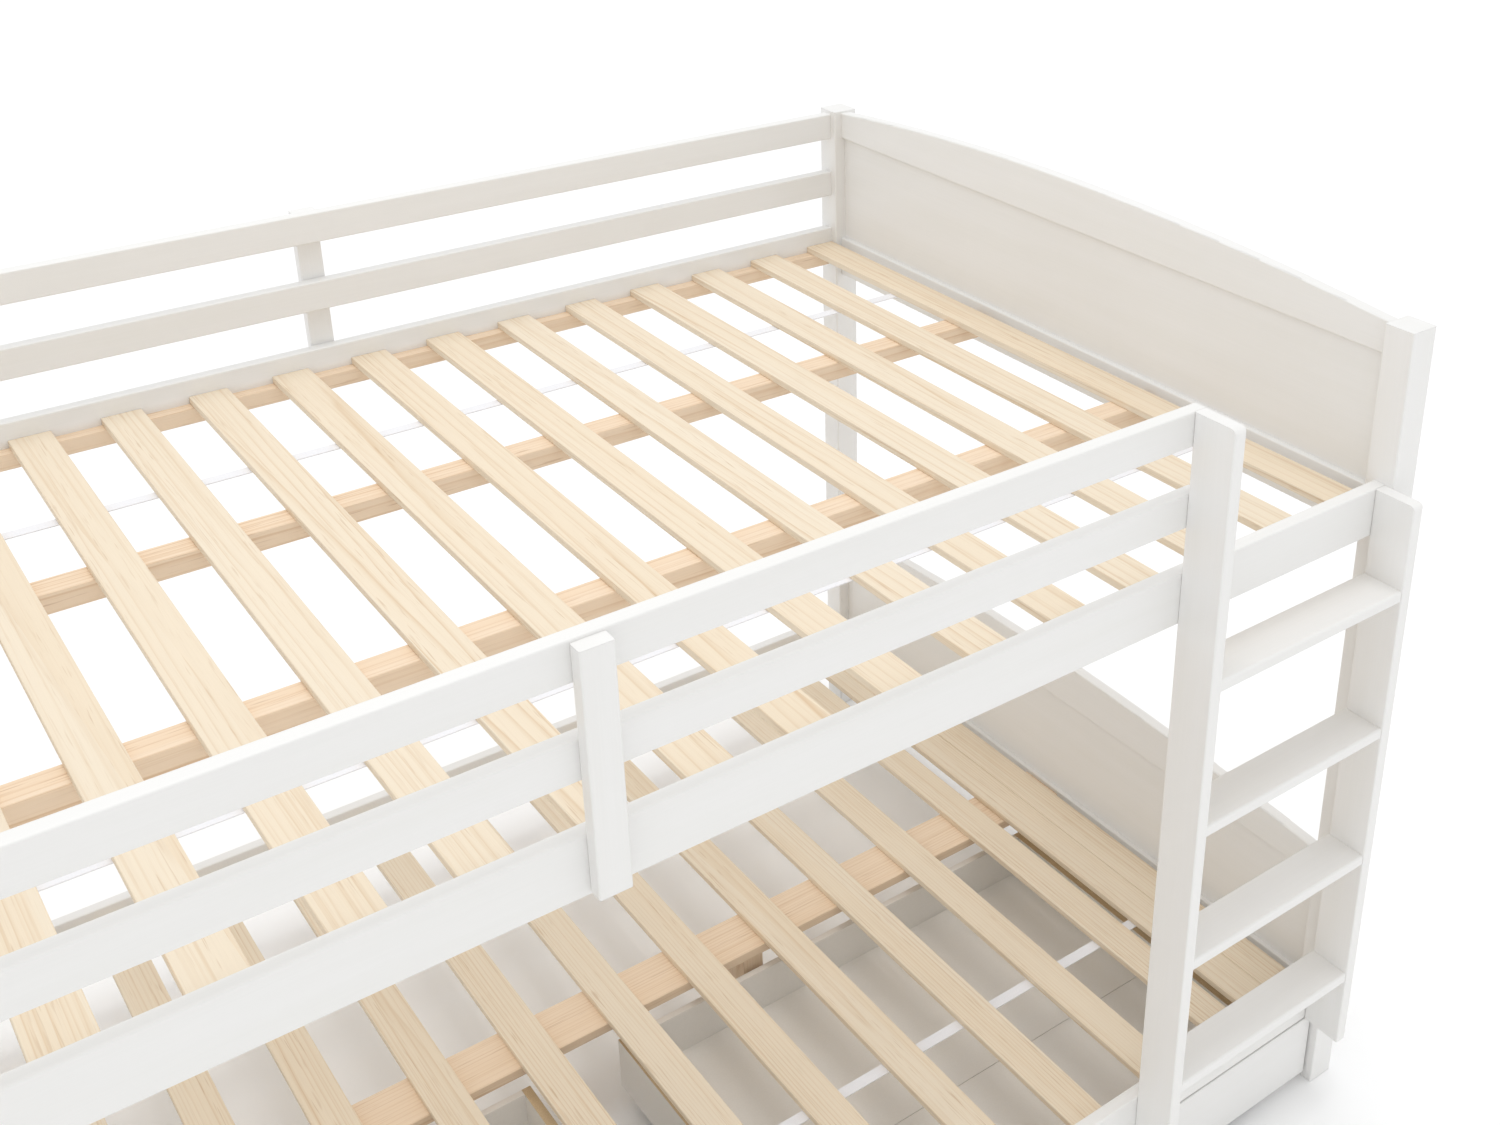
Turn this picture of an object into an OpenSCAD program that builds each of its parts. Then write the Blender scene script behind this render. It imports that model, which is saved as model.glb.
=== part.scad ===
// Bunk bed with ladder: two slatted tiers on four one-piece corner posts,
// arched end panels, guard rails, a fixed ladder and two rolling drawers.
// Frame: +X along the bed to the ladder end, +Y from the ladder side to the
// wall side, +Z up. Origin on the floor under the middle of the outer box.

/* [Overall] */
// length over the posts, along X
bed_l = 2200; // [2060:10:2300]
// width over the posts, along Y
bed_w = 1460; // [1360:10:1560]
// height of the corner posts
post_h = 1410; // [1380:5:1460]
// side of the square corner posts
post_s = 51; // [46:1:60]
// thickness of side rails, guard rails and arched rails
rail_t = 21; // [18:1:24]
// rounding of the long edges of the painted boards and posts
edge_r = 2.5; // [1:0.5:3]
// rounding of the long edges of the bare slats and beams
slat_r = 1.5; // [0.5:0.5:2]

/* [Upper tier] */
// top of the upper side rails
up_rail_z = 1166; // [1150:1:1180]
// height of every side rail
side_h = 79; // [72:1:90]
// height of the guard rails
guard_h = 51; // [44:1:56]
// top of the upper guard rails
guard_top_z = 1404; // [1396:1:1408]
// top of the middle guard rails
guard_mid_z = 1285; // [1275:1:1295]
// top of the upper slats
up_slat_z = 1136.5; // [1130:0.5:1140]
// number of upper slats
up_slat_n = 16; // [12:1:18]
// width of each upper beam
beam_w = 44; // [38:1:60]
// height of each upper beam
beam_h = 31.5; // [25:0.5:36]
// distance of each upper beam from the middle of the bed
beam_off = 222; // [180:1:260]

/* [Lower tier] */
// top of the lower side rails
low_rail_z = 227; // [220:1:240]
// top of the lower slats
low_slat_z = 198; // [192:0.5:204]
// spacing of the single lower slats
low_pitch = 154.5; // [150:0.5:156]
// number of single lower slats between the end pairs
low_slat_n = 12; // [8:1:12]
// start of the single lower slats from the end of the bed
low_first = 201; // [196:1:215]
// width of the centre plank
plank_w = 92; // [70:1:120]
// thickness of the centre plank
plank_t = 18; // [15:1:21]
// distance of each support leg from the nearer end of the bed
leg_x = 745; // [700:5:780]
// leg size along X
leg_a = 40; // [35:1:50]
// leg size along Y
leg_b = 70; // [60:1:76]

/* [Slats] */
// slat width
slat_w = 62; // [50:1:66]
// slat thickness
slat_t = 12; // [10:0.5:14]
// thickness of the cleats that carry the slats
cleat_t = 22; // [18:1:26]
// height of the cleats
cleat_h = 27; // [22:1:30]
// webbing strap width
strap_w = 20; // [16:1:25]
// webbing strap thickness
strap_t = 1.6; // [1.2:0.1:2]
// distance of each strap from the middle of the bed
strap_off = 400; // [360:5:440]

/* [End panels] */
// height of the upper arched rail's straight lower edge
arch_low_z = 1356; // [1345:1:1362]
// height of the upper arched rail where it meets the posts
arch_end_z = 1407; // [1395:1:1408]
// rise of the arch above its ends
arch_rise = 34; // [15:1:45]
// top of the upper bottom rail, the ledge under the thin panel
ledge_z = 1145; // [1140:1:1150]
// height of the bottom rails
end_h = 80; // [70:1:90]
// thickness of the bottom rails
end_t = 25; // [21:1:28]
// thickness of the thin infill panels
panel_t = 5; // [4:0.5:9]
// how far the lower end panels sit below the upper ones
tier_drop = 951; // [945:1:955]

/* [Ladder] */
// depth of the stiles, front to back
stile_d = 70; // [60:1:80]
// thickness of the stiles
stile_t = 21; // [18:1:24]
// clear width between the stiles
step_w = 381; // [340:1:400]
// thickness of the steps
step_t = 17; // [15:1:21]
// distance from one step to the next
step_pitch = 242.5; // [235:0.5:250]
// top of the highest step
step_top_z = 1024.5; // [1015:0.5:1035]
// number of steps
step_n = 4; // [3:1:4]
// corner radius at the top front of each stile
stile_r = 9; // [4:1:14]
// lower end of the stiles, clear above the drawers
stile_low_z = 148; // [148:1:160]

/* [Boards] */
// width of the two upright joining boards
mid_w = 40; // [35:1:50]
// thickness of the joining boards
mid_t = 21; // [18:1:24]
// front joining board: distance of its middle from the ladder end
mid_front = 1330; // [1200:5:1400]

/* [Drawers] */
// top of the drawer fronts
front_top = 144; // [130:1:144]
// bottom of the drawer fronts
front_low = 14; // [10:1:25]
// thickness of the drawer fronts
front_t = 15; // [12:1:18]
// rim height of the drawer box
box_top = 142; // [125:1:142]
// thickness of the drawer sides
wall_t = 15; // [12:1:16]
// thickness of the drawer backs
back_t = 12; // [10:1:15]
// depth of the drawer from rail face to back
box_d = 668; // [600:1:670]
// inset of the box from each end of its front
box_in = 80; // [70:1:100]
// hand cut-out width
grip_w = 120; // [100:5:150]
// hand cut-out depth
grip_h = 26; // [20:1:30]
// wheel radius
wheel_r = 20; // [17:0.5:21]
// wheel width
wheel_w = 16; // [12:1:18]
// wheel pin diameter
pin_d = 5; // [4:0.5:6]

/* [Fasteners] */
// bolt shank diameter
bolt_d = 8; // [6:1:8]
// bolt head diameter
head_d = 16; // [14:1:17]
// barrel nut diameter
nut_d = 12; // [10:1:13]

/* [Hidden] */

rail_in = (post_s - rail_t)/2;                    // rails sit in the middle of the posts
front_proud = stile_d - rail_in;                  // ladder in front of the posts
rear_proud = mid_t - rail_in;                     // joining board behind the posts
yf = (front_proud - rear_proud)/2 - bed_w/2;      // front face of the front posts
yr = yf + bed_w;                                  // back face of the rear posts
ym = (yf + yr)/2;                                 // middle of the bed across
xr = bed_l/2;                                     // ladder end
post_x = bed_l/2 - post_s/2;
inner_x = bed_l/2 - post_s;
yrf = yf + rail_in;                               // front rails, front face
yrr = yr - rail_in - rail_t;                      // rear rails, inner face
end_in = post_x - end_t/2;                        // inner face of the bottom rails
span = bed_w - 2*post_s;
gap = 0.5;
groove = 8;
arch_r = span*span/(8*arch_rise) + arch_rise/2;
cleat_top_u = up_slat_z - slat_t;
cleat_top_l = low_slat_z - slat_t;
slat_len = yrr - (yrf + rail_t) - 1;
up_pitch = (2*inner_x - 1 - slat_w)/(up_slat_n - 1);
stile_rx = inner_x - stile_t;                     // right stile, left face
stile_lx = stile_rx - step_w - stile_t;           // left stile, left face
house = 5;                                        // step ends let into the stiles
step_set = 1.5;                                   // steps set back from the stile edge
step_r = 4;
bolt_in = 9;                                      // bolt heads sunk in the posts
bolt_l = post_s - bolt_in + 45;
nut_at = 34;                                      // barrel nut behind the rail end
z_up = up_rail_z - side_h/2;
z_low = low_rail_z - side_h/2;
z_gt = guard_top_z - guard_h/2;
z_gm = guard_mid_z - guard_h/2;
clear_z = 0.3;
floor_z = 51;                                     // underside of the drawer bottom
bottom_t = 6;
slot_d = 5;                                       // drawer bottom let into its walls
box_low = 40;
axle_z = wheel_r + clear_z;
wheel_in = 45;
wheel_y1 = yrf + 100;
wheel_y2 = yrf + 595;
cheek_t = 2.5;
cheek_x = wheel_w/2 + 1.2;
dfr_l = 2;                                        // drawer fronts meet here
dfr_r = inner_x - 4;
bx_l = dfr_l + box_in - 2;
bx_r = dfr_r - box_in;
by_b = yrf + box_d;
seam_y = yf + 323;

white = [0.95, 0.94, 0.92];
pine = [0.93, 0.83, 0.66];
pine2 = [0.88, 0.74, 0.55];
steel = [0.7, 0.7, 0.72];
grey = [0.3, 0.3, 0.32];
cloth = [0.96, 0.96, 0.98];

// all bolted rail ends: [end (+1 ladder end), row (0 front, 1 rear), height]
joints = [
 [ 1, 0, z_up], [ 1, 0, z_low], [-1, 0, z_up], [-1, 0, z_low], [-1, 0, z_gt], [-1, 0, z_gm],
 [ 1, 1, z_up], [ 1, 1, z_low], [ 1, 1, z_gt], [ 1, 1, z_gm],
 [-1, 1, z_up], [-1, 1, z_low], [-1, 1, z_gt], [-1, 1, z_gm]
];
function row_y(r) = r == 0 ? yf + post_s/2 : yr - post_s/2;

module box(x0, x1, y0, y1, z0, z1) { translate([x0, y0, z0]) cube([x1 - x0, y1 - y0, z1 - z0]); }
// boards with their four long edges rounded, running along X, Y or Z
module soft_rect(w, h, r) {
 translate([r, 0]) square([w - 2*r, h]);
 translate([0, r]) square([w, h - 2*r]);
 for (x = [r, w - r], y = [r, h - r]) translate([x, y]) circle(r = r, $fn = 32);
}
module board_x(x0, x1, y0, y1, z0, z1, r) { translate([x0, y0, z0]) rotate([90, 0, 90]) linear_extrude(x1 - x0) soft_rect(y1 - y0, z1 - z0, r); }
module board_y(x0, x1, y0, y1, z0, z1, r) { translate([x0, y1, z0]) rotate([90, 0, 0]) linear_extrude(y1 - y0) soft_rect(x1 - x0, z1 - z0, r); }
module board_z(x0, x1, y0, y1, z0, z1, r) { translate([x0, y0, z0]) linear_extrude(z1 - z0) soft_rect(x1 - x0, y1 - y0, r); }
module along_x(d, l) { rotate([0, 90, 0]) cylinder(d = d, h = l, $fn = 48); }
module along_y(d, l) { rotate([-90, 0, 0]) cylinder(d = d, h = l, $fn = 48); }

// ---- corner posts ----
module post(s, r) {
 color(white) difference() {
  board_z(s*post_x - post_s/2, s*post_x + post_s/2, row_y(r) - post_s/2, row_y(r) + post_s/2, 0, post_h, edge_r);
  for (d = [0, tier_drop])
   box(s*post_x - panel_t/2, s*post_x + panel_t/2,
       r == 0 ? yf + post_s - groove : yr - post_s - 1, r == 0 ? yf + post_s + 1 : yr - post_s + groove,
       ledge_z - d - groove, arch_low_z - d + groove);
  for (j = joints) if (j[0] == s && j[1] == r) {
   translate([s*post_x - post_s/2 - 1, row_y(r), j[2]]) along_x(bolt_d + 0.4, post_s + 2);
   translate([s > 0 ? xr - bolt_in : -xr - 1, row_y(r), j[2]]) along_x(head_d + 1, bolt_in + 1);
  }
 }
}
module post_front_right() { post(1, 0); }
module post_front_left() { post(-1, 0); }
module post_rear_right() { post(1, 1); }
module post_rear_left() { post(-1, 1); }

// ---- arched end panels ----
// the curved top of an arched rail is turned about a distant centre
module arch_section() {
 translate([arch_r - 300, -rail_t/2]) square([300 - edge_r, rail_t]);
 translate([arch_r - edge_r - 1, -rail_t/2 + edge_r]) square([edge_r + 1, rail_t - 2*edge_r]);
 for (s = [-1, 1]) translate([arch_r - edge_r, s*(rail_t/2 - edge_r)]) circle(r = edge_r, $fn = 32);
}
module arched_rail(s, d) {
 color(white) difference() {
  intersection() {
   board_y(s*post_x - rail_t/2, s*post_x + rail_t/2, yf + post_s, yr - post_s, arch_low_z - d, arch_low_z - d + 150, edge_r);
   translate([s*post_x, ym, arch_end_z + arch_rise - arch_r - d]) rotate([0, 90, 0]) rotate_extrude($fn = 720) arch_section();
  }
  box(s*post_x - panel_t/2, s*post_x + panel_t/2, yf, yr, arch_low_z - d - 1, arch_low_z - d + groove);
 }
}
module infill(s, d) {
 color(white) box(s*post_x - panel_t/2, s*post_x + panel_t/2,
  yf + post_s - groove + gap, yr - post_s + groove - gap, ledge_z - d - groove + gap, arch_low_z - d + groove - gap);
}
module bottom_rail(s, d) {
 color(white) difference() {
  board_y(s*post_x - end_t/2, s*post_x + end_t/2, yf + post_s, yr - post_s, ledge_z - d - end_h, ledge_z - d, edge_r);
  box(s*post_x - panel_t/2, s*post_x + panel_t/2, yf, yr, ledge_z - d - groove, ledge_z - d + 1);
 }
}
module upper_right_arched_rail() { arched_rail(1, 0); }
module upper_right_panel() { infill(1, 0); }
module upper_right_bottom_rail() { bottom_rail(1, 0); }
module upper_left_arched_rail() { arched_rail(-1, 0); }
module upper_left_panel() { infill(-1, 0); }
module upper_left_bottom_rail() { bottom_rail(-1, 0); }
module lower_right_arched_rail() { arched_rail(1, tier_drop); }
module lower_right_panel() { infill(1, tier_drop); }
module lower_right_bottom_rail() { bottom_rail(1, tier_drop); }
module lower_left_arched_rail() { arched_rail(-1, tier_drop); }
module lower_left_panel() { infill(-1, tier_drop); }
module lower_left_bottom_rail() { bottom_rail(-1, tier_drop); }

// ---- rails ----
module rail(r, x0, x1, ztop, h, ends) {
 y0 = r == 0 ? yrf : yrr;
 color(white) difference() {
  board_x(x0, x1, y0, y0 + rail_t, ztop - h, ztop, edge_r);
  for (s = ends) rail_bore_at(s, r, ztop - h/2);
 }
}
// bore for one bolt and its barrel nut
module rail_bore_at(s, r, z) {
 translate([s > 0 ? inner_x - 50 : -inner_x - 1, row_y(r), z]) along_x(bolt_d + 0.4, 51);
 // nut hole opens on the inner face in front, on the outer face at the rear
 translate([s*(inner_x - nut_at), r == 0 ? yrf + 3 : yrr + 3, z]) along_y(nut_d + 0.4, rail_t);
}
module upper_front_side_rail() { rail(0, -inner_x, inner_x, up_rail_z, side_h, [1, -1]); }
module upper_rear_side_rail() { rail(1, -inner_x, inner_x, up_rail_z, side_h, [1, -1]); }
module lower_front_side_rail() { rail(0, -inner_x, inner_x, low_rail_z, side_h, [1, -1]); }
module lower_rear_side_rail() { rail(1, -inner_x, inner_x, low_rail_z, side_h, [1, -1]); }
module front_top_guard_rail() { rail(0, -inner_x, stile_lx + stile_t, guard_top_z, guard_h, [-1]); }
module front_middle_guard_rail() { rail(0, -inner_x, stile_lx + stile_t, guard_mid_z, guard_h, [-1]); }
module rear_top_guard_rail() { rail(1, -inner_x, inner_x, guard_top_z, guard_h, [1, -1]); }
module rear_middle_guard_rail() { rail(1, -inner_x, inner_x, guard_mid_z, guard_h, [1, -1]); }

module front_joining_board() {
 color(white) board_z(xr - mid_front - mid_w/2, xr - mid_front + mid_w/2, yrf - mid_t, yrf, up_rail_z - side_h + 5, guard_top_z - 4, edge_r);
}
module rear_joining_board() {
 color(white) board_z(-mid_w/2, mid_w/2, yrr + rail_t, yrr + rail_t + mid_t, up_rail_z - side_h + 5, guard_top_z - 2, edge_r);
}

// ---- slat decks ----
module cleats(top) {
 color(pine2) {
  board_x(-inner_x + 1, inner_x - 1, yrf + rail_t, yrf + rail_t + cleat_t, top - cleat_h, top, slat_r);
  board_x(-inner_x + 1, inner_x - 1, yrr - cleat_t, yrr, top - cleat_h, top, slat_r);
 }
}
module upper_cleats() { cleats(cleat_top_u); }
module lower_cleats() { cleats(cleat_top_l); }
module upper_beams() {
 color(pine2) for (s = [-1, 1])
  board_x(-end_in, end_in, ym + s*beam_off - beam_w/2, ym + s*beam_off + beam_w/2, cleat_top_u - beam_h, cleat_top_u, slat_r);
}
module centre_plank() {
 color(pine2) board_x(-end_in, end_in, ym - plank_w/2, ym + plank_w/2, cleat_top_l - plank_t, cleat_top_l, slat_r);
}
module support_legs() {
 color(pine2) for (s = [-1, 1])
  board_z(s*(xr - leg_x) - leg_a/2, s*(xr - leg_x) + leg_a/2, ym - leg_b/2, ym + leg_b/2, 0, cleat_top_l - plank_t, slat_r);
}
module slat(x, top) { board_y(x, x + slat_w, ym - slat_len/2, ym + slat_len/2, top - slat_t, top, slat_r); }
module upper_slats() {
 color(pine) for (i = [0 : up_slat_n - 1]) slat(-inner_x + gap + i*up_pitch, up_slat_z);
}
module lower_slats() {
 color(pine) {
  for (i = [0 : low_slat_n - 1]) slat(xr - low_first - slat_w - i*low_pitch, low_slat_z);
  for (i = [0, 1]) {
   slat(inner_x - gap - slat_w - i*(slat_w + gap), low_slat_z);
   slat(-inner_x + gap + i*(slat_w + gap), low_slat_z);
  }
 }
}
module straps(top) {
 color(cloth) for (s = [-1, 1])
  box(-inner_x + 6, inner_x - 6, ym + s*strap_off - strap_w/2, ym + s*strap_off + strap_w/2, top - strap_t, top);
}
module upper_straps() { straps(cleat_top_u); }
module lower_straps() { straps(cleat_top_l); }

// ---- ladder ----
// outline of a step seen from the side, rounded at its upper front edge
module step_outline(z) {
 y0 = yrf - stile_d + step_set;
 translate([y0, z - step_t]) square([stile_d - step_set, step_t - step_r]);
 translate([y0 + step_r, z - step_r - 1]) square([stile_d - step_set - step_r, step_r + 1]);
 translate([y0 + step_r, z - step_r]) circle(r = step_r, $fn = 48);
}
module stile_outline(top) {
 y0 = yrf - stile_d;
 translate([y0, stile_low_z]) square([stile_d, top - stile_low_z - stile_r]);
 translate([y0 + stile_r, top - stile_r - 1]) square([stile_d - stile_r, stile_r + 1]);
 translate([y0 + stile_r, top - stile_r]) circle(r = stile_r, $fn = 64);
}
module stile(x, top, hx) {
 color(white) difference() {
  intersection() {
   translate([x, 0, 0]) rotate([90, 0, 90]) linear_extrude(stile_t) stile_outline(top);
   board_z(x, x + stile_t, yrf - stile_d, yrf, 0, post_h, edge_r);
  }
  for (i = [0 : step_n - 1]) translate([hx, 0, 0]) rotate([90, 0, 90])
   linear_extrude(house + 1) step_outline(step_top_z - i*step_pitch);
 }
}
module ladder_left_stile() { stile(stile_lx, guard_top_z, stile_lx + stile_t - house); }
module ladder_right_stile() { stile(stile_rx, up_rail_z - 1, stile_rx - 1); }
module ladder_steps() {
 color(white) for (i = [0 : step_n - 1])
  translate([stile_lx + stile_t - house, 0, 0]) rotate([90, 0, 90])
   linear_extrude(step_w + 2*house) step_outline(step_top_z - i*step_pitch);
}

// ---- rolling drawers, drawn at the ladder end and mirrored for the other ----
module grip() {
 r = 10;
 translate([-grip_w/2, -grip_h + r]) square([grip_w, grip_h]);
 translate([-grip_w/2 + r, -grip_h]) square([grip_w - 2*r, r + 1]);
 for (s = [-1, 1]) translate([s*(grip_w/2 - r), -grip_h + r]) circle(r = r, $fn = 48);
}
module d_front() {
 color(white) difference() {
  board_x(dfr_l, dfr_r, yrf, yrf + front_t, front_low, front_top, 2);
  translate([(dfr_l + dfr_r)/2, yrf - 1, front_top]) rotate([90, 0, 0]) mirror([0, 0, 1]) linear_extrude(front_t + 2) grip();
 }
}
module d_slot() {
 box(bx_l + wall_t - slot_d, bx_r - wall_t + slot_d, yrf + front_t - 1, by_b - back_t + slot_d, floor_z, floor_z + bottom_t);
}
module d_wall(x0) {
 color(white) difference() {
  box(x0, x0 + wall_t, yrf + front_t, by_b, box_low, box_top);
  d_slot();
 }
}
module d_back() {
 color(white) difference() {
  box(bx_l + wall_t, bx_r - wall_t, by_b - back_t, by_b, box_low, box_top);
  d_slot();
 }
}
module d_bottom() {
 color(white) {
  box(bx_l + wall_t - slot_d + gap, bx_r - wall_t + slot_d - gap, yrf + front_t, seam_y - 0.4, floor_z, floor_z + bottom_t);
  box(bx_l + wall_t - slot_d + gap, bx_r - wall_t + slot_d - gap, seam_y + 0.4, by_b - back_t + slot_d - gap, floor_z, floor_z + bottom_t);
 }
}
module bracket(x, y) {
 translate([x, y, 0]) {
  difference() {
   union() {
    box(-cheek_x - cheek_t, cheek_x + cheek_t, -22, 22, floor_z - 3, floor_z);
    for (s = [-1, 1]) translate([s > 0 ? cheek_x : -cheek_x - cheek_t, 0, 0]) {
     box(0, cheek_t, -12, 12, axle_z, floor_z - 2);
     translate([0, 0, axle_z]) along_x(24, cheek_t);
    }
   }
   translate([-50, 0, axle_z]) along_x(pin_d + 0.2, 100);
   box(-cheek_x, cheek_x, -30, 30, 0, floor_z - 3);
  }
  translate([-cheek_x - cheek_t - 1, 0, axle_z]) {
   along_x(pin_d, 2*(cheek_x + cheek_t + 1));
   translate([-1.2, 0, 0]) along_x(pin_d + 3, 2);
   translate([2*(cheek_x + cheek_t + 1) - 0.8, 0, 0]) along_x(pin_d + 3, 2);
  }
 }
}
module d_brackets() {
 color(grey) for (x = [bx_l + wheel_in, bx_r - wheel_in], y = [wheel_y1, wheel_y2]) bracket(x, y);
}
module wheel(x, y) {
 color(grey) translate([x, y, axle_z]) rotate([0, 90, 0]) rotate_extrude($fn = 96) {
  w = wheel_w/2;
  difference() {
   union() {
    translate([pin_d/2 + 0.08, -w]) square([wheel_r - 2 - pin_d/2 - 0.08, 2*w]);
    translate([wheel_r - 3, -w + 2]) square([3, 2*w - 4]);
    for (s = [-1, 1]) translate([wheel_r - 2, s*(w - 2)]) circle(r = 2, $fn = 32);
   }
   for (s = [-1, 1]) translate([pin_d/2 + 4, s > 0 ? w - 2 : -w - 1]) square([wheel_r - pin_d/2 - 8.5, 3]);
  }
 }
}
module right_drawer_front() { d_front(); }
module right_drawer_left_side() { d_wall(bx_l); }
module right_drawer_right_side() { d_wall(bx_r - wall_t); }
module right_drawer_back() { d_back(); }
module right_drawer_bottom() { d_bottom(); }
module right_drawer_castor_brackets() { d_brackets(); }
module right_drawer_wheel_front_left() { wheel(bx_l + wheel_in, wheel_y1); }
module right_drawer_wheel_front_right() { wheel(bx_r - wheel_in, wheel_y1); }
module right_drawer_wheel_rear_left() { wheel(bx_l + wheel_in, wheel_y2); }
module right_drawer_wheel_rear_right() { wheel(bx_r - wheel_in, wheel_y2); }
module left_drawer_front() { mirror([1, 0, 0]) d_front(); }
module left_drawer_left_side() { mirror([1, 0, 0]) d_wall(bx_r - wall_t); }
module left_drawer_right_side() { mirror([1, 0, 0]) d_wall(bx_l); }
module left_drawer_back() { mirror([1, 0, 0]) d_back(); }
module left_drawer_bottom() { mirror([1, 0, 0]) d_bottom(); }
module left_drawer_castor_brackets() { mirror([1, 0, 0]) d_brackets(); }
module left_drawer_wheel_front_left() { wheel(-bx_r + wheel_in, wheel_y1); }
module left_drawer_wheel_front_right() { wheel(-bx_l - wheel_in, wheel_y1); }
module left_drawer_wheel_rear_left() { wheel(-bx_r + wheel_in, wheel_y2); }
module left_drawer_wheel_rear_right() { wheel(-bx_l - wheel_in, wheel_y2); }

// ---- fasteners ----
module frame_bolts() {
 color(steel) for (j = joints) translate([j[0]*(xr - bolt_in), row_y(j[1]), j[2]]) rotate([0, 0, j[0] > 0 ? 180 : 0])
  difference() {
   union() { along_x(bolt_d, bolt_l); translate([-6, 0, 0]) along_x(head_d, 6); }
   translate([-7, 0, 0]) rotate([0, 90, 0]) cylinder(d = 6, h = 4.5, $fn = 6);
  }
}
module barrel_nuts() {
 color(steel) for (j = joints) difference() {
  translate([j[0]*(inner_x - nut_at), (j[1] == 0 ? yrf : yrr) + 3, j[2]]) along_y(nut_d, rail_t - 3.5);
  translate([j[0]*(inner_x - nut_at) - 10, row_y(j[1]), j[2]]) along_x(bolt_d + 0.2, 20);
 }
}

post_front_right();
post_front_left();
post_rear_right();
post_rear_left();
upper_right_arched_rail();
upper_right_panel();
upper_right_bottom_rail();
upper_left_arched_rail();
upper_left_panel();
upper_left_bottom_rail();
lower_right_arched_rail();
lower_right_panel();
lower_right_bottom_rail();
lower_left_arched_rail();
lower_left_panel();
lower_left_bottom_rail();
upper_front_side_rail();
upper_rear_side_rail();
lower_front_side_rail();
lower_rear_side_rail();
front_top_guard_rail();
front_middle_guard_rail();
rear_top_guard_rail();
rear_middle_guard_rail();
front_joining_board();
rear_joining_board();
upper_cleats();
lower_cleats();
upper_beams();
centre_plank();
support_legs();
upper_slats();
lower_slats();
upper_straps();
lower_straps();
ladder_left_stile();
ladder_right_stile();
ladder_steps();
right_drawer_front();
right_drawer_left_side();
right_drawer_right_side();
right_drawer_back();
right_drawer_bottom();
right_drawer_castor_brackets();
left_drawer_front();
left_drawer_left_side();
left_drawer_right_side();
left_drawer_back();
left_drawer_bottom();
left_drawer_castor_brackets();
right_drawer_wheel_front_left();
right_drawer_wheel_front_right();
right_drawer_wheel_rear_left();
right_drawer_wheel_rear_right();
left_drawer_wheel_front_left();
left_drawer_wheel_front_right();
left_drawer_wheel_rear_left();
left_drawer_wheel_rear_right();
frame_bolts();
barrel_nuts();
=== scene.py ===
import math
import bpy
import bmesh
from mathutils import Matrix, Vector

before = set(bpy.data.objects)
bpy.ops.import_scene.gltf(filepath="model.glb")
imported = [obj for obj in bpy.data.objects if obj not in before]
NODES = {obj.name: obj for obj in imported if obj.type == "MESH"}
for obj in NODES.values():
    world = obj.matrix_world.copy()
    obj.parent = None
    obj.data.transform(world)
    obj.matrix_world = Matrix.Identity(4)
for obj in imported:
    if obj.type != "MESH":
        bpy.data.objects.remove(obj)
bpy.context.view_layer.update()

scene = bpy.context.scene


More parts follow.
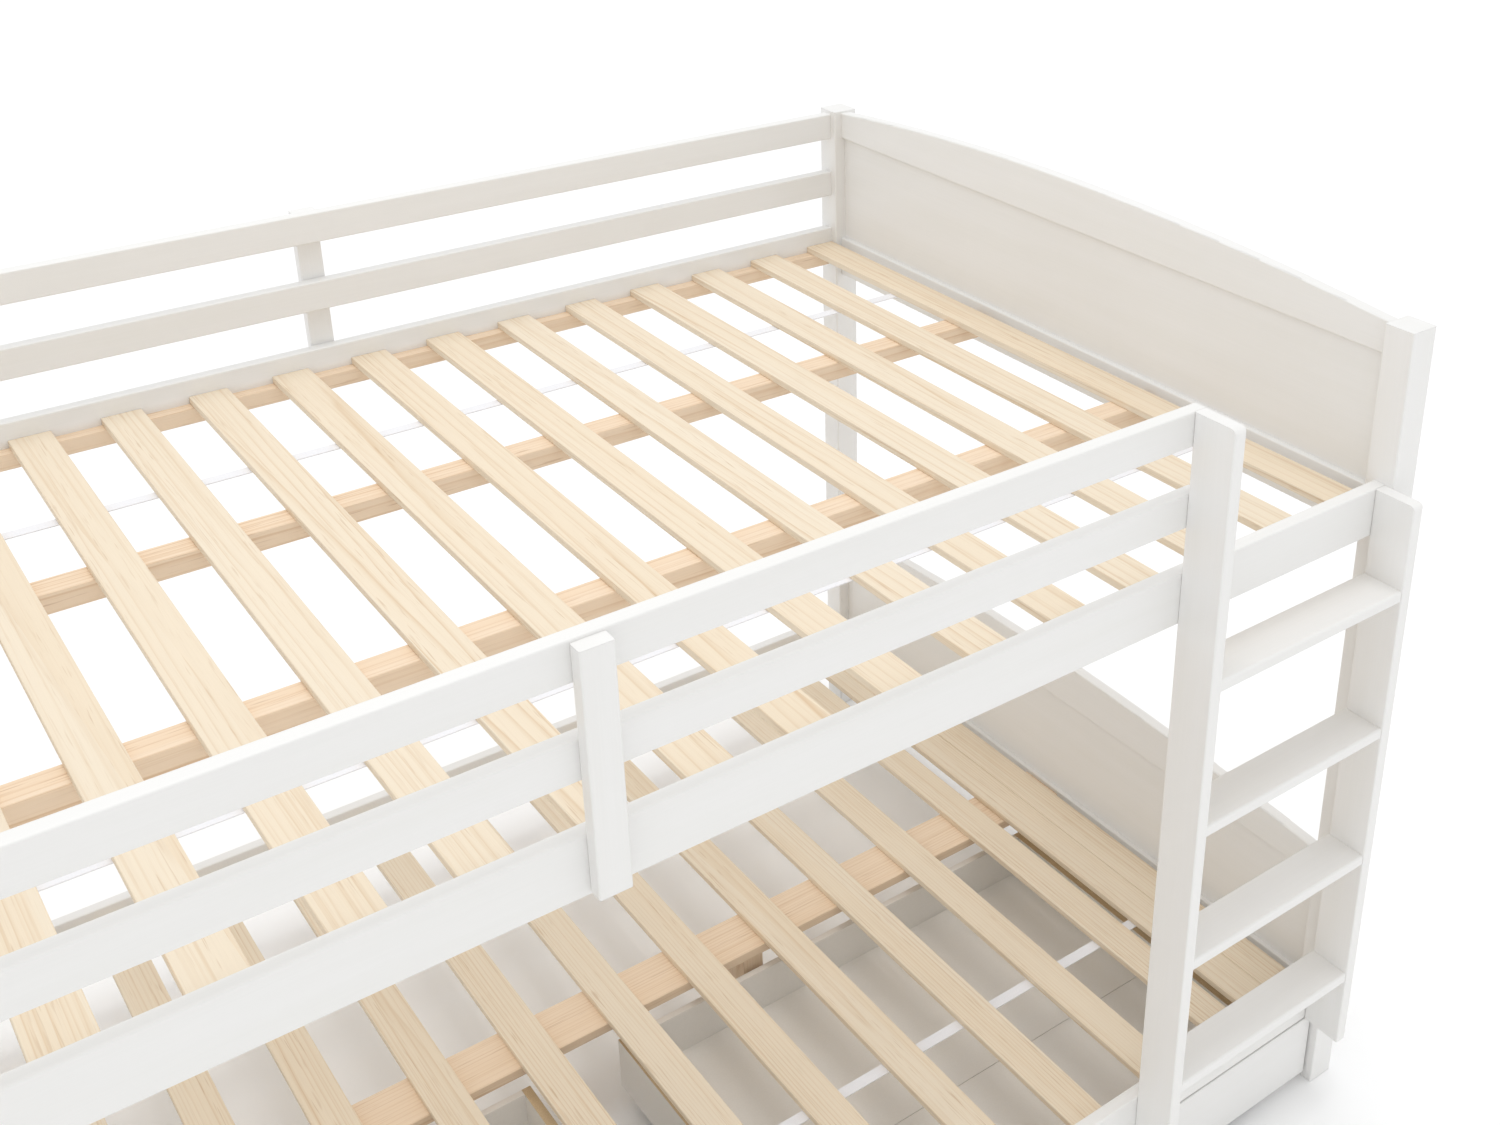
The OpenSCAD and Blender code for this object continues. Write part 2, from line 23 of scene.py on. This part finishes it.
# ------------------------------------------------------------------ node helpers
class Net:
    """A small helper that wires shader nodes."""

    def __init__(self, name):
        self.mat = bpy.data.materials.new(name)
        self.mat.use_nodes = True
        self.nt = self.mat.node_tree
        self.nt.nodes.clear()
        self.out = self.nt.nodes.new("ShaderNodeOutputMaterial")
        self.bsdf = self.nt.nodes.new("ShaderNodeBsdfPrincipled")
        self.nt.links.new(self.bsdf.outputs[0], self.out.inputs["Surface"])

    def put(self, sock, val):
        if isinstance(val, bpy.types.NodeSocket):
            self.nt.links.new(val, sock)
        elif val is not None:
            sock.default_value = val

    def node(self, kind, **props):
        n = self.nt.nodes.new(kind)
        for k, v in props.items():
            setattr(n, k, v)
        return n

    def math(self, op, a, b=None, c=None, clamp=False):
        n = self.node("ShaderNodeMath", operation=op, use_clamp=clamp)
        self.put(n.inputs[0], a)
        if b is not None:
            self.put(n.inputs[1], b)
        if c is not None:
            self.put(n.inputs[2], c)
        return n.outputs[0]

    def position(self):
        """Place on the piece at rest, in metres; it stays with the piece when the piece moves."""
        n = self.node("ShaderNodeTexCoord")
        s = self.node("ShaderNodeSeparateXYZ")
        self.nt.links.new(n.outputs["Object"], s.inputs[0])
        return s.outputs[0], s.outputs[1], s.outputs[2]

    def vec(self, x, y, z):
        n = self.node("ShaderNodeCombineXYZ")
        for i, v in enumerate((x, y, z)):
            self.put(n.inputs[i], v)
        return n.outputs[0]

    def noise(self, v, scale=1.0, detail=2.0, rough=0.5, dist=0.0):
        n = self.node("ShaderNodeTexNoise")
        self.put(n.inputs["Vector"], v)
        n.inputs["Scale"].default_value = scale
        n.inputs["Detail"].default_value = detail
        n.inputs["Roughness"].default_value = rough
        n.inputs["Distortion"].default_value = dist
        return n.outputs["Fac"]

    def ramp(self, fac, stops, smooth=False):
        n = self.node("ShaderNodeValToRGB")
        cr = n.color_ramp
        if smooth:
            cr.interpolation = "EASE"
        while len(cr.elements) < len(stops):
            cr.elements.new(0.5)
        for e, (p, c) in zip(cr.elements, stops):
            e.position = p
            e.color = c if isinstance(c, tuple) else (c, c, c, 1)
        self.put(n.inputs[0], fac)
        return n.outputs[0]

    def mix(self, fac, a, b, mode="MIX"):
        n = self.node("ShaderNodeMix", data_type="RGBA", blend_type=mode)
        self.put(n.inputs[0], fac)
        self.put(n.inputs[6], a)
        self.put(n.inputs[7], b)
        return n.outputs[2]

    def remap(self, v, a, b, c, d):
        n = self.node("ShaderNodeMapRange", clamp=True)
        self.put(n.inputs[0], v)
        for i, x in enumerate((a, b, c, d)):
            self.put(n.inputs[i + 1], x)
        return n.outputs[0]

    def bump(self, height, strength, dist, normal=None):
        n = self.node("ShaderNodeBump")
        n.inputs["Strength"].default_value = strength
        n.inputs["Distance"].default_value = dist
        self.put(n.inputs["Height"], height)
        if normal is not None:
            self.put(n.inputs["Normal"], normal)
        return n.outputs[0]

    def soft_edge(self, radius):
        n = self.node("ShaderNodeBevel", samples=4)
        n.inputs["Radius"].default_value = radius
        return n.outputs[0]

    def edge_mask(self, radius):
        """1 on outer and inner edges, 0 on flats."""
        b = self.soft_edge(radius)
        g = self.node("ShaderNodeNewGeometry")
        d = self.node("ShaderNodeVectorMath", operation="DOT_PRODUCT")
        self.put(d.inputs[0], b)
        self.put(d.inputs[1], g.outputs["Normal"])
        return self.remap(d.outputs["Value"], 0.75, 1.0, 1.0, 0.0)

    def island(self):
        return self.node("ShaderNodeNewGeometry").outputs["Random Per Island"]


def rgb(r, g, b):
    """sRGB 0-255 to linear."""
    def f(c):
        c /= 255.0
        return c / 12.92 if c <= 0.04045 else ((c + 0.055) / 1.055) ** 2.4
    return (f(r), f(g), f(b), 1.0)


# ------------------------------------------------------------------ materials
def white_paint(name, axis):
    """Satin white paint over planed wood; the grain runs along axis and only just shows."""
    m = Net(name)
    p = list(m.position())
    long = p.pop("xyz".index(axis))
    a, b = p
    r = m.island()
    fine = m.noise(m.vec(m.math("MULTIPLY", a, 420), m.math("MULTIPLY", long, 7), m.math("MULTIPLY", b, 420)), 1, 3, 0.6)
    broad = m.noise(m.vec(m.math("MULTIPLY", a, 30), m.math("MULTIPLY", long, 2), m.math("MULTIPLY", b, 30)), 1, 2, 0.5)
    peel = m.noise(m.vec(m.math("MULTIPLY", a, 700), m.math("MULTIPLY", long, 700), m.math("MULTIPLY", b, 700)), 1, 1, 0.5)
    base = m.ramp(broad, [(0.3, rgb(234, 233, 230)), (0.7, rgb(236, 235, 233))])
    edge = m.edge_mask(0.0016)
    worn = m.math("MULTIPLY", edge, m.remap(m.noise(m.vec(m.math("MULTIPLY", a, 25), m.math("MULTIPLY", long, 25), m.math("MULTIPLY", b, 25)), 1, 3, 0.6), 0.52, 0.75, 0.0, 0.55))
    col = m.mix(worn, base, rgb(220, 214, 205))
    tone = m.remap(fine, 0.3, 0.7, 0.985, 1.0)
    col = m.mix(1.0, col, m.vec(tone, tone, tone), "MULTIPLY")
    m.put(m.bsdf.inputs["Base Color"], col)
    m.put(m.bsdf.inputs["Roughness"], m.remap(broad, 0.3, 0.7, 0.36, 0.46))
    m.bsdf.inputs["Specular IOR Level"].default_value = 0.45
    h = m.math("ADD", m.math("MULTIPLY", fine, 0.6), m.math("MULTIPLY", peel, 0.4))
    m.put(m.bsdf.inputs["Normal"], m.bump(h, 0.13, 0.0001, m.soft_edge(0.0012)))
    return m.mat


def board_white(name, bare_top):
    """White-faced drawer board: smooth faces, with bare sawn edges on top of the side boards."""
    m = Net(name)
    x, y, z = m.position()
    v = m.vec(m.math("MULTIPLY", x, 300), m.math("MULTIPLY", y, 300), m.math("MULTIPLY", z, 300))
    n = m.noise(v, 1, 2, 0.5)
    g = m.node("ShaderNodeNewGeometry")
    s = m.node("ShaderNodeSeparateXYZ")
    t = m.node("ShaderNodeVectorTransform", vector_type="NORMAL", convert_from="WORLD", convert_to="OBJECT")
    m.put(t.inputs[0], g.outputs["Normal"])
    m.put(s.inputs[0], t.outputs[0])
    rim = m.math("MULTIPLY", m.math("GREATER_THAN", s.outputs[2], 0.9), m.math("GREATER_THAN", z, 0.138 if bare_top else 9.0))
    fibre = m.noise(m.vec(m.math("MULTIPLY", x, 500), m.math("MULTIPLY", y, 500), 0.0), 1, 3, 0.6)
    bare = m.ramp(fibre, [(0.3, rgb(206, 180, 142)), (0.55, rgb(217, 194, 158)), (0.75, rgb(225, 204, 170))])
    face = m.ramp(n, [(0.3, rgb(238, 235, 230)), (0.7, rgb(241, 238, 233))])
    m.put(m.bsdf.inputs["Base Color"], m.mix(rim, face, bare))
    m.put(m.bsdf.inputs["Roughness"], m.math("ADD", m.math("MULTIPLY", rim, 0.25), m.remap(n, 0.3, 0.7, 0.42, 0.5)))
    h = m.math("ADD", m.math("MULTIPLY", n, 0.3), m.math("MULTIPLY", m.math("MULTIPLY", fibre, rim), 1.0))
    m.put(m.bsdf.inputs["Normal"], m.bump(h, 0.25, 0.0001, m.soft_edge(0.0008)))
    return m.mat


def pine(name, axis, light, mid, dark, local=None, spacing=0.0042, contrast=1.0, rough=0.58):
    """Planed softwood cut from a log: growth rings round a pith below each board, long fibres, and its own tone for each board."""
    m = Net(name)
    p = list(m.position())
    long = p.pop("xyz".index(axis))
    a, b = p
    r = m.island()
    r2 = m.math("FRACT", m.math("MULTIPLY", r, 17.31))
    r3 = m.math("FRACT", m.math("MULTIPLY", r, 53.77))
    if local:                      # (start, pitch, width) along the first cross axis
        start, pitch, width = local
        la = m.math("SUBTRACT", m.math("MODULO", m.math("SUBTRACT", a, start), pitch), width / 2)
    else:
        la = m.math("SUBTRACT", a, m.math("MULTIPLY", m.math("SUBTRACT", r3, 0.5), 0.2))
    # distance to the pith: far away for straight-grained boards, near for a cathedral figure
    sway = m.noise(m.vec(m.math("MULTIPLY", long, 0.9), m.math("MULTIPLY", r, 91), 0.0), 1, 2, 0.5)
    wob = m.noise(m.vec(m.math("MULTIPLY", la, 22), m.math("MULTIPLY", long, 4), m.math("MULTIPLY", r, 37)), 1, 2, 0.5)
    off = m.math("MULTIPLY", m.math("SUBTRACT", r2, 0.42), 0.24)
    da = m.math("SUBTRACT", la, off)
    da = m.math("ADD", da, m.math("MULTIPLY", m.math("SUBTRACT", sway, 0.5), 0.014))
    db = m.math("ADD", m.math("MULTIPLY", r3, 0.05), 0.010)
    db = m.math("ADD", db, m.math("MULTIPLY", b, 0.25))
    rad = m.math("SQRT", m.math("ADD", m.math("MULTIPLY", da, da), m.math("MULTIPLY", db, db)))
    rad = m.math("ADD", rad, m.math("MULTIPLY", long, m.math("MULTIPLY", m.math("SUBTRACT", r3, 0.4), 0.010)))
    rad = m.math("ADD", rad, m.math("MULTIPLY", wob, 0.0016))
    ring = m.math("FRACT", m.math("DIVIDE", rad, spacing))
    late = m.ramp(ring, [(0.0, 0.04), (0.60, 0.09), (0.82, 0.45), (0.92, 1.0), (0.97, 0.22), (1.0, 0.04)])
    # rings come and go along and across the board
    vary = m.noise(m.vec(m.math("ADD", m.math("MULTIPLY", a, 46), m.math("MULTIPLY", r, 33)), m.math("MULTIPLY", long, 0.9), m.math("MULTIPLY", b, 46)), 1, 2, 0.5)
    fib = m.noise(m.vec(m.math("MULTIPLY", a, 900), m.math("MULTIPLY", long, 9), m.math("MULTIPLY", b, 900)), 1, 3, 0.65)
    streak = m.noise(m.vec(m.math("ADD", m.math("MULTIPLY", a, 210), m.math("MULTIPLY", r, 60)), m.math("MULTIPLY", long, 1.6), m.math("MULTIPLY", b, 210)), 1, 2, 0.55)
    pores = m.noise(m.vec(m.math("MULTIPLY", a, 420), m.math("MULTIPLY", long, 15), m.math("MULTIPLY", b, 420)), 1, 1, 0.5)
    amount = m.math("MULTIPLY", m.remap(r3, 0, 1, 0.34 * contrast, 0.80 * contrast), m.remap(vary, 0.35, 0.62, 0.45, 1.0))
    col = m.mix(m.math("MULTIPLY", late, amount), light, mid)
    col = m.mix(m.math("MULTIPLY", m.remap(streak, 0.55, 0.75, 0.0, 0.42), contrast), col, mid)
    dash = m.math("MULTIPLY", m.remap(pores, 0.62, 0.72, 0.0, 1.0), m.remap(vary, 0.45, 0.62, 0.15, 0.9))
    col = m.mix(m.math("MULTIPLY", dash, 0.45 * contrast), col, dark)
    tone = m.remap(fib, 0.25, 0.75, 0.965, 1.01)
    col = m.mix(1.0, col, m.vec(tone, tone, tone), "MULTIPLY")
    # board to board
    warm = m.mix(m.math("FRACT", m.math("MULTIPLY", r, 7.93)), (1.0, 1.0, 1.0, 1), (0.985, 0.960, 0.925, 1))
    col = m.mix(1.0, col, warm, "MULTIPLY")
    edge = m.edge_mask(0.0016)
    col = m.mix(m.math("MULTIPLY", edge, m.remap(streak, 0.3, 0.7, 0.05, 0.25)), col, mid)
    m.put(m.bsdf.inputs["Base Color"], col)
    m.put(m.bsdf.inputs["Roughness"], m.remap(late, 0.0, 1.0, rough + 0.05, rough - 0.07))
    m.bsdf.inputs["Specular IOR Level"].default_value = 0.35
    h = m.math("ADD", m.math("MULTIPLY", fib, 0.7), m.math("MULTIPLY", late, 0.45))
    m.put(m.bsdf.inputs["Normal"], m.bump(h, 0.35, 0.00018, m.soft_edge(0.0011)))
    return m.mat


def webbing(name):
    """Flat woven polyester tape: ribs across and a plain weave."""
    m = Net(name)
    x, y, z = m.position()
    def tri(v, pitch):
        return m.math("PINGPONG", m.math("DIVIDE", v, pitch), 1.0)
    warp = tri(y, 0.0011)
    weft = tri(m.math("ADD", x, m.math("MULTIPLY", m.math("FLOOR", m.math("DIVIDE", y, 0.0022)), 0.0008)), 0.0008)
    weave = m.math("MULTIPLY", m.math("SINE", m.math("MULTIPLY", warp, 3.1416)), m.math("SINE", m.math("MULTIPLY", weft, 3.1416)))
    fuzz = m.noise(m.vec(m.math("MULTIPLY", x, 900), m.math("MULTIPLY", y, 900), m.math("MULTIPLY", z, 900)), 1, 2, 0.6)
    f = m.math("ADD", m.math("MULTIPLY", weave, 0.8), m.math("MULTIPLY", fuzz, 0.35))
    m.put(m.bsdf.inputs["Base Color"], m.ramp(f, [(0.1, rgb(229, 229, 232)), (0.7, rgb(238, 238, 241))]))
    m.bsdf.inputs["Roughness"].default_value = 0.78
    m.bsdf.inputs["Sheen Weight"].default_value = 0.25
    m.put(m.bsdf.inputs["Normal"], m.bump(f, 0.2, 0.0002))
    return m.mat


def plastic(name):
    """Grey-black moulded wheel plastic with a fine matt grain and floor dust on the tread."""
    m = Net(name)
    x, y, z = m.position()
    n = m.noise(m.vec(m.math("MULTIPLY", x, 900), m.math("MULTIPLY", y, 900), m.math("MULTIPLY", z, 900)), 1, 2, 0.5)
    dust = m.noise(m.vec(m.math("MULTIPLY", x, 90), m.math("MULTIPLY", y, 90), m.math("MULTIPLY", z, 90)), 1, 4, 0.6)
    col = m.ramp(n, [(0.3, rgb(38, 38, 40)), (0.7, rgb(50, 50, 52))])
    col = m.mix(m.remap(dust, 0.5, 0.75, 0.0, 0.35), col, rgb(120, 116, 110))
    m.put(m.bsdf.inputs["Base Color"], col)
    m.put(m.bsdf.inputs["Roughness"], m.remap(dust, 0.3, 0.7, 0.42, 0.62))
    m.put(m.bsdf.inputs["Normal"], m.bump(n, 0.3, 0.0001, m.soft_edge(0.0006)))
    return m.mat


def zinc(name, tint):
    """Zinc-plated steel: pale, faintly streaked, with duller patches."""
    m = Net(name)
    x, y, z = m.position()
    n = m.noise(m.vec(m.math("MULTIPLY", x, 60), m.math("MULTIPLY", y, 60), m.math("MULTIPLY", z, 60)), 1, 4, 0.6)
    s = m.noise(m.vec(m.math("MULTIPLY", x, 1500), m.math("MULTIPLY", y, 300), m.math("MULTIPLY", z, 1500)), 1, 2, 0.6)
    m.put(m.bsdf.inputs["Base Color"], m.mix(n, tint, rgb(150, 152, 154)))
    m.bsdf.inputs["Metallic"].default_value = 1.0
    m.put(m.bsdf.inputs["Roughness"], m.remap(n, 0.3, 0.7, 0.28, 0.5))
    m.put(m.bsdf.inputs["Normal"], m.bump(s, 0.15, 0.00005, m.soft_edge(0.0005)))
    return m.mat


CREAM = (rgb(235, 222, 201), rgb(212, 184, 148), rgb(190, 156, 116))
SHADE = (rgb(238, 217, 192), rgb(212, 177, 138), rgb(178, 138, 98))

PAINT = {a: white_paint("white_paint_" + a, a) for a in "xyz"}
DRAWER = board_white("drawer_board", False)
DRAWER_SIDE = board_white("drawer_side_board", True)
U0 = -(1.1 - 0.051) + 0.0005
UPPER = pine("upper_slat_pine", "y", *CREAM, local=(U0, 0.1356667, 0.062))
LOWER = pine("lower_slat_pine", "y", *CREAM, local=(U0, 0.1545, 0.062))
BEAM = pine("beam_pine", "x", *SHADE, spacing=0.0055, contrast=1.15)
LEG = pine("leg_pine", "z", *SHADE, spacing=0.0055, contrast=1.15)
WEB = webbing("strap_webbing")
WHEEL = plastic("wheel_plastic")
PLATE = zinc("bracket_zinc", rgb(206, 206, 202))
BOLT = zinc("bolt_zinc", rgb(214, 214, 214))


def finish_for(n):
    if n in ("frame_bolts", "barrel_nuts"):
        return BOLT
    if "castor" in n:
        return PLATE
    if "wheel" in n:
        return WHEEL
    if "straps" in n:
        return WEB
    if n == "upper_slats":
        return UPPER
    if n == "lower_slats":
        return LOWER
    if n in ("upper_cleats", "lower_cleats", "upper_beams", "centre_plank"):
        return BEAM
    if n == "support_legs":
        return LEG
    if n.endswith("drawer_left_side") or n.endswith("drawer_right_side"):
        return DRAWER_SIDE
    if "drawer" in n and not n.endswith("drawer_front"):
        return DRAWER
    if n.startswith("post") or "joining" in n or "stile" in n:
        return PAINT["z"]
    if "arched" in n or "bottom_rail" in n or n.endswith("_panel"):
        return PAINT["y"]
    return PAINT["x"]


for name, ob in NODES.items():
    m = finish_for(name)
    ob.data.materials.clear()
    ob.data.materials.append(m)

# ------------------------------------------------------------------ floor, light, camera
def plane(name, size, z):
    me = bpy.data.meshes.new(name)
    s = size / 2
    me.from_pydata([(-s, -s, z), (s, -s, z), (s, s, z), (-s, s, z)], [], [(0, 1, 2, 3)])
    ob = bpy.data.objects.new(name, me)
    scene.collection.objects.link(ob)
    return ob


floor = plane("floor", 60.0, -0.0005)
fm = Net("floor_pale")
fx, fy, fz = fm.position()
fn = fm.noise(fm.vec(fx, fy, 0.0), 3.0, 3, 0.5)
fm.put(fm.bsdf.inputs["Base Color"], fm.ramp(fn, [(0.3, rgb(252, 252, 252)), (0.7, rgb(254, 254, 254))]))
fm.bsdf.inputs["Roughness"].default_value = 0.85
fm.bsdf.inputs["Specular IOR Level"].default_value = 0.1
floor.data.materials.append(fm.mat)


def area(name, loc, target, size, power, color=(1, 1, 1)):
    ld = bpy.data.lights.new(name, "AREA")
    ld.shape = "RECTANGLE"
    ld.size, ld.size_y = size
    ld.energy = power
    ld.color = color
    ob = bpy.data.objects.new(name, ld)
    scene.collection.objects.link(ob)
    ob.location = loc
    ob.visible_camera = False
    ob.rotation_euler = (Vector(target) - Vector(loc)).to_track_quat("-Z", "Y").to_euler()
    return ob


area("top", (-0.1, 0.0, 3.1), (-0.1, 0, 0.8), (1.6, 1.0), 5)
area("fill", (-0.6, -4.2, 0.9), (0.2, 0, 0.4), (2.4, 1.0), 1, (1.0, 0.995, 0.985))

# soft daylight from straight above
sd = bpy.data.lights.new("overhead", "SUN")
sd.energy = 0.66
sd.angle = math.radians(24)
so = bpy.data.objects.new("overhead", sd)
scene.collection.objects.link(so)
so.location = (0, 0, 5)
so.rotation_euler = (0.0, 0.0, 0.0)

# a soft tent: bright overhead, dimmer round the sides, white where it meets the floor
world = bpy.data.worlds.new("studio")
scene.world = world
world.use_nodes = True
wt = world.node_tree
bg = wt.nodes["Background"]
wc = wt.nodes.new("ShaderNodeTexCoord")
ws = wt.nodes.new("ShaderNodeSeparateXYZ")
wt.links.new(wc.outputs["Generated"], ws.inputs[0])
wr = wt.nodes.new("ShaderNodeMapRange")
wt.links.new(ws.outputs[2], wr.inputs[0])
for i, v in enumerate((0.0, 1.0, 0.76, 0.93)):
    wr.inputs[i + 1].default_value = v
wh = wt.nodes.new("ShaderNodeMapRange")
wt.links.new(ws.outputs[2], wh.inputs[0])
for i, v in enumerate((0.2, 0.42, 1.03, 0.76)):
    wh.inputs[i + 1].default_value = v
wm = wt.nodes.new("ShaderNodeMath")
wm.operation = "MAXIMUM"
wt.links.new(wr.outputs[0], wm.inputs[0])
wt.links.new(wh.outputs[0], wm.inputs[1])
bg.inputs[0].default_value = (0.992, 0.998, 1.006, 1)
wt.links.new(wm.outputs[0], bg.inputs[1])

CAM_LOC = (-0.8576, -2.0234, 2.3312)
# camera axes: right, down, forward
CAM_ROT = ((0.787707, -0.615924, 0.012462), (-0.245518, -0.332418, -0.910615), (0.565012, 0.714238, -0.413069))
LENS = 41.13
SHIFT = (-0.12, -0.12)
cd = bpy.data.cameras.new("camera")
cd.sensor_width = 36.0
cd.lens = LENS
cd.shift_x, cd.shift_y = SHIFT
cd.clip_start, cd.clip_end = 0.05, 200
cam = bpy.data.objects.new("camera", cd)
scene.collection.objects.link(cam)
right, down, fwd = (Vector(v) for v in CAM_ROT)
mw = Matrix((
    (right.x, -down.x, -fwd.x, CAM_LOC[0]),
    (right.y, -down.y, -fwd.y, CAM_LOC[1]),
    (right.z, -down.z, -fwd.z, CAM_LOC[2]),
    (0, 0, 0, 1)))
cam.matrix_world = mw
scene.camera = cam
scene.view_settings.view_transform = "Standard"
scene.view_settings.look = "None"
scene.view_settings.exposure = 0.0
scene.view_settings.gamma = 1.0
